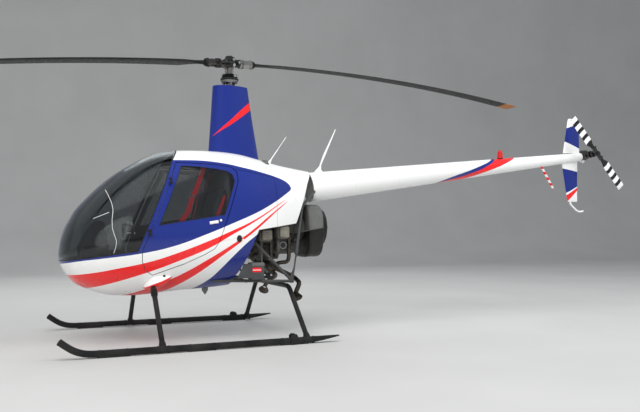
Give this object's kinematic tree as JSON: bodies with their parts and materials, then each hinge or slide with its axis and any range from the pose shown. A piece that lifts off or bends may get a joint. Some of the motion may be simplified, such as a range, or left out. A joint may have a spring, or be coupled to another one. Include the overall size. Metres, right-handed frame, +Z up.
{
  "type": "two-seat light helicopter",
  "caption": "Light two-seat helicopter parked on skids: hollow cabin with hinged doors, open engine bay, tail boom, teetering main rotor and tail rotor.",
  "frame": {"origin": "on the ground, under the middle of the whole machine's box with the rotors as parked; the mast's axis is 0.504 m forward of it, at x -0.504 and y 0", "axes": "+X aft along the tail boom, +Y to starboard, +Z up; the nose points to -X"},
  "size_m": [8.5634, 1.952, 2.693],
  "materials": {
    "paint_white": "gloss paint",
    "paint_blue": "gloss paint",
    "paint_red": "gloss paint",
    "glass_tinted": "tinted clear sheet",
    "black_paint": "satin paint",
    "blade_paint": "matte paint",
    "frame_steel": "painted tube",
    "engine_alloy": "cast, stained",
    "exhaust_steel": "heat-stained",
    "bare_aluminium": "machined",
    "rotor_steel": "machined",
    "shroud_composite": "painted glass fibre",
    "black_plastic": "moulded",
    "seat_leather": "soft",
    "carpet": "short pile",
    "beacon_lens": "clear red lens"
  },
  "bodies": {
    "airframe": {"cabin_tub": "paint_white", "cabin_roof": "paint_white", "tail_cowl": "paint_white", "body_side_left": "paint_blue", "body_side_right": "paint_blue", "windshield_bow": "paint_blue", "windshield_left": "glass_tinted", "windshield_right": "glass_tinted", "crosstube_front": "black_paint", "crosstube_aft": "black_paint", "skid_left": "black_paint", "skid_right": "black_paint", "cabin_floor": "carpet", "bulkhead": "carpet", "seat_base": "carpet", "seat_cushion_left": "seat_leather", "seat_cushion_right": "seat_leather", "seat_back_left": "seat_leather", "seat_back_right": "seat_leather", "instrument_console": "black_plastic", "cyclic_stick": "black_plastic", "firewall": "bare_aluminium", "engine_frame": "frame_steel", "engine": "engine_alloy", "exhaust": "exhaust_steel", "battery_box": "frame_steel", "fan_scroll": "shroud_composite", "main_gearbox": "engine_alloy", "tail_boom": "paint_white", "fin_upper": "paint_white", "fin_lower": "paint_blue", "stabilizer": "paint_white", "tail_bumper": "paint_white", "warning_rod": "paint_red", "beacon": "beacon_lens", "tail_gearbox": "bare_aluminium", "mast_fairing": "paint_blue", "swashplate_fixed": "bare_aluminium", "antenna_whip": "paint_white", "antenna_blade": "paint_white", "antenna_belly": "black_plastic"},
    "main_rotor": {"mast": "rotor_steel", "swashplate_turning": "black_plastic", "rotor_hub": "rotor_steel", "blade_grip_1": "rotor_steel", "blade_grip_2": "rotor_steel", "pitch_link_1": "rotor_steel", "pitch_link_2": "rotor_steel", "main_blade_1": "blade_paint", "main_blade_2": "blade_paint"},
    "tail_rotor": {"tail_rotor_hub": "bare_aluminium", "tail_blade_1": "blade_paint", "tail_blade_2": "blade_paint"},
    "cooling_fan": {"fan_wheel": "bare_aluminium"},
    "left_door": {"door_left": "paint_blue", "door_window_left": "glass_tinted"},
    "right_door": {"door_right": "paint_blue", "door_window_right": "glass_tinted"}
  },
  "joints": [
    {"name": "main_rotor_spin", "type": "hinge", "parent": "airframe", "child": "main_rotor", "pos_m": [-0.50389, 0, 2.3], "axis": [0, 0, 1], "continuous": true},
    {"name": "tail_rotor_spin", "type": "hinge", "parent": "airframe", "child": "tail_rotor", "pos_m": [3.88611, -0.212, 1.86], "axis": [0, 1, 0], "continuous": true},
    {"name": "cooling_fan_spin", "type": "hinge", "parent": "airframe", "child": "cooling_fan", "pos_m": [0.35, 0, 1.008], "axis": [1, 0, 0], "continuous": true},
    {"name": "left_door_hinge", "type": "hinge", "parent": "airframe", "child": "left_door", "pos_m": [-1.36789, -0.577, 0.955], "axis": [-0.3779, -0.1016, -0.9203], "range_deg": [0, 75]},
    {"name": "right_door_hinge", "type": "hinge", "parent": "airframe", "child": "right_door", "pos_m": [-1.36789, 0.577, 0.955], "axis": [0.3779, -0.1016, 0.9203], "range_deg": [0, 75]}
  ],
  "couplings": [
    {"joint": "tail_rotor_spin", "follows": "main_rotor_spin", "ratio": 6.4}
  ]
}
